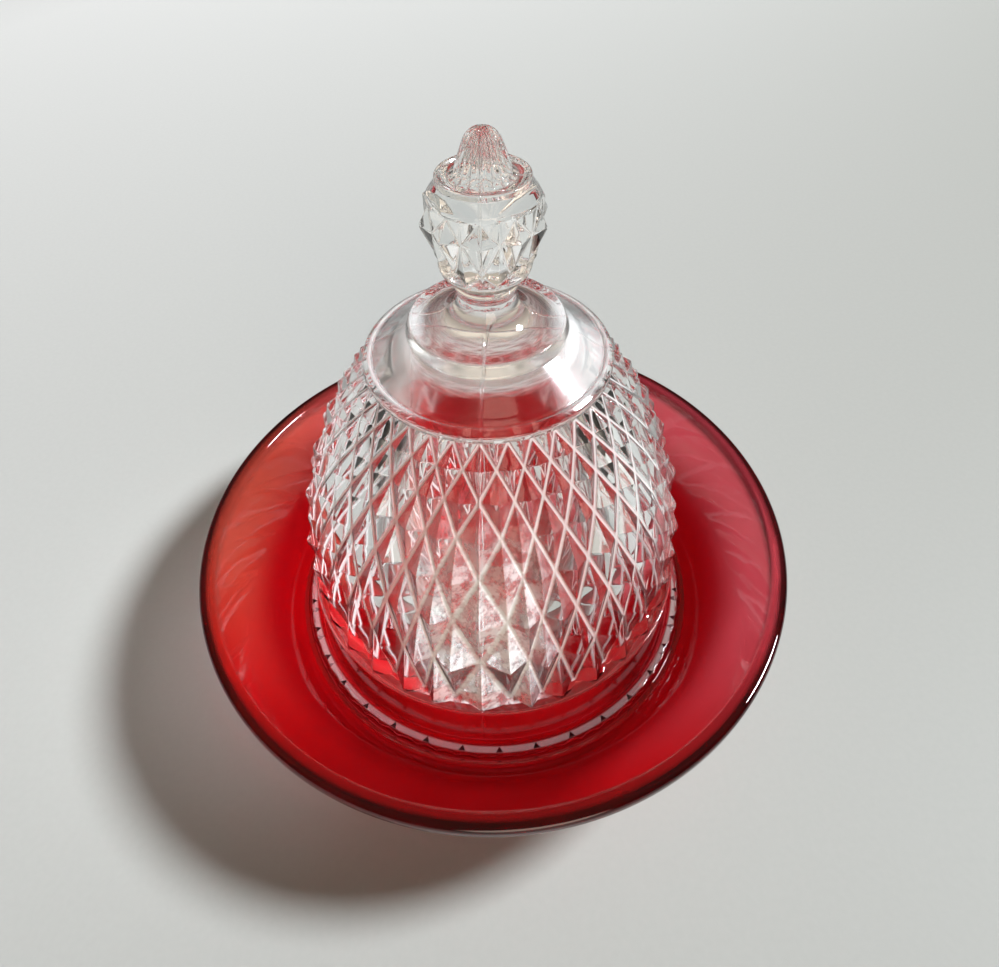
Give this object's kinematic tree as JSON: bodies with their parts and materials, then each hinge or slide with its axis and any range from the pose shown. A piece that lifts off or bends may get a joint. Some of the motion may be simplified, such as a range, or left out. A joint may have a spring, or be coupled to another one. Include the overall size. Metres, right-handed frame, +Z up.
{
  "type": "butter dish",
  "caption": "Round pressed-glass butter dish: a deep flared plate with a collar in its well, and a diamond-relief domed lid with a faceted finial that lifts off.",
  "frame": {"origin": "centre of the foot ring's underside, on the table", "axes": "+Z up through the middle of the plate, the lid and its finial; the dish is round, so +X and +Y are any two directions across it, with the lid's mould seam at -Y"},
  "size_m": [0.184, 0.184, 0.17],
  "materials": {
    "clear_glass": "pressed, fire-polished",
    "ruby_glass": "pressed, with a fired-on ruby stain"
  },
  "bodies": {
    "plate": {"plate": "ruby_glass"},
    "lid": {"lid": "clear_glass"}
  },
  "joints": [
    {"name": "lid_lift", "type": "slide", "parent": "plate", "child": "lid", "axis": [0, 0, 1], "range_m": [0, 0.15]}
  ]
}
